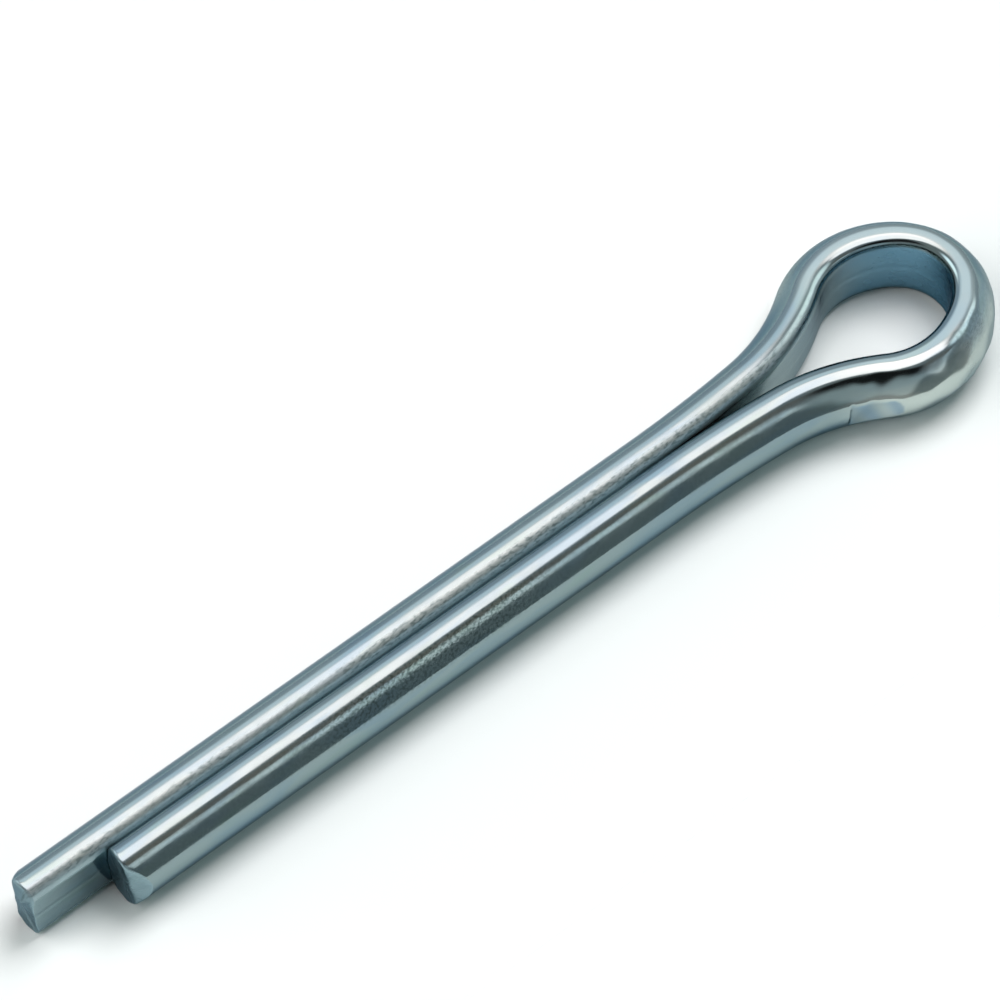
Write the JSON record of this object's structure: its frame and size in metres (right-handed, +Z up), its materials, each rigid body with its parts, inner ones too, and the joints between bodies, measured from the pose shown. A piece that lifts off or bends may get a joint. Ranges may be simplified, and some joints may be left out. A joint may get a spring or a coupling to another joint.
{
  "type": "cotter pin",
  "caption": "Zinc-plated split pin bent from half-round steel wire, with a drop-shaped eye and legs of slightly unequal length.",
  "frame": {"origin": "centre of the pin's bounding box, on the surface it lies on", "axes": "+X along the shank towards the eye, +Y towards the side of the long leg, +Z up, square to the plane of the eye"},
  "size_m": [0.0739, 0.013, 0.0054],
  "materials": {
    "zinc": "bright zinc plate with a cool blue tint, drawn-wire texture"
  },
  "bodies": {
    "root": {"cotter_pin": "zinc"}
  },
  "joints": []
}
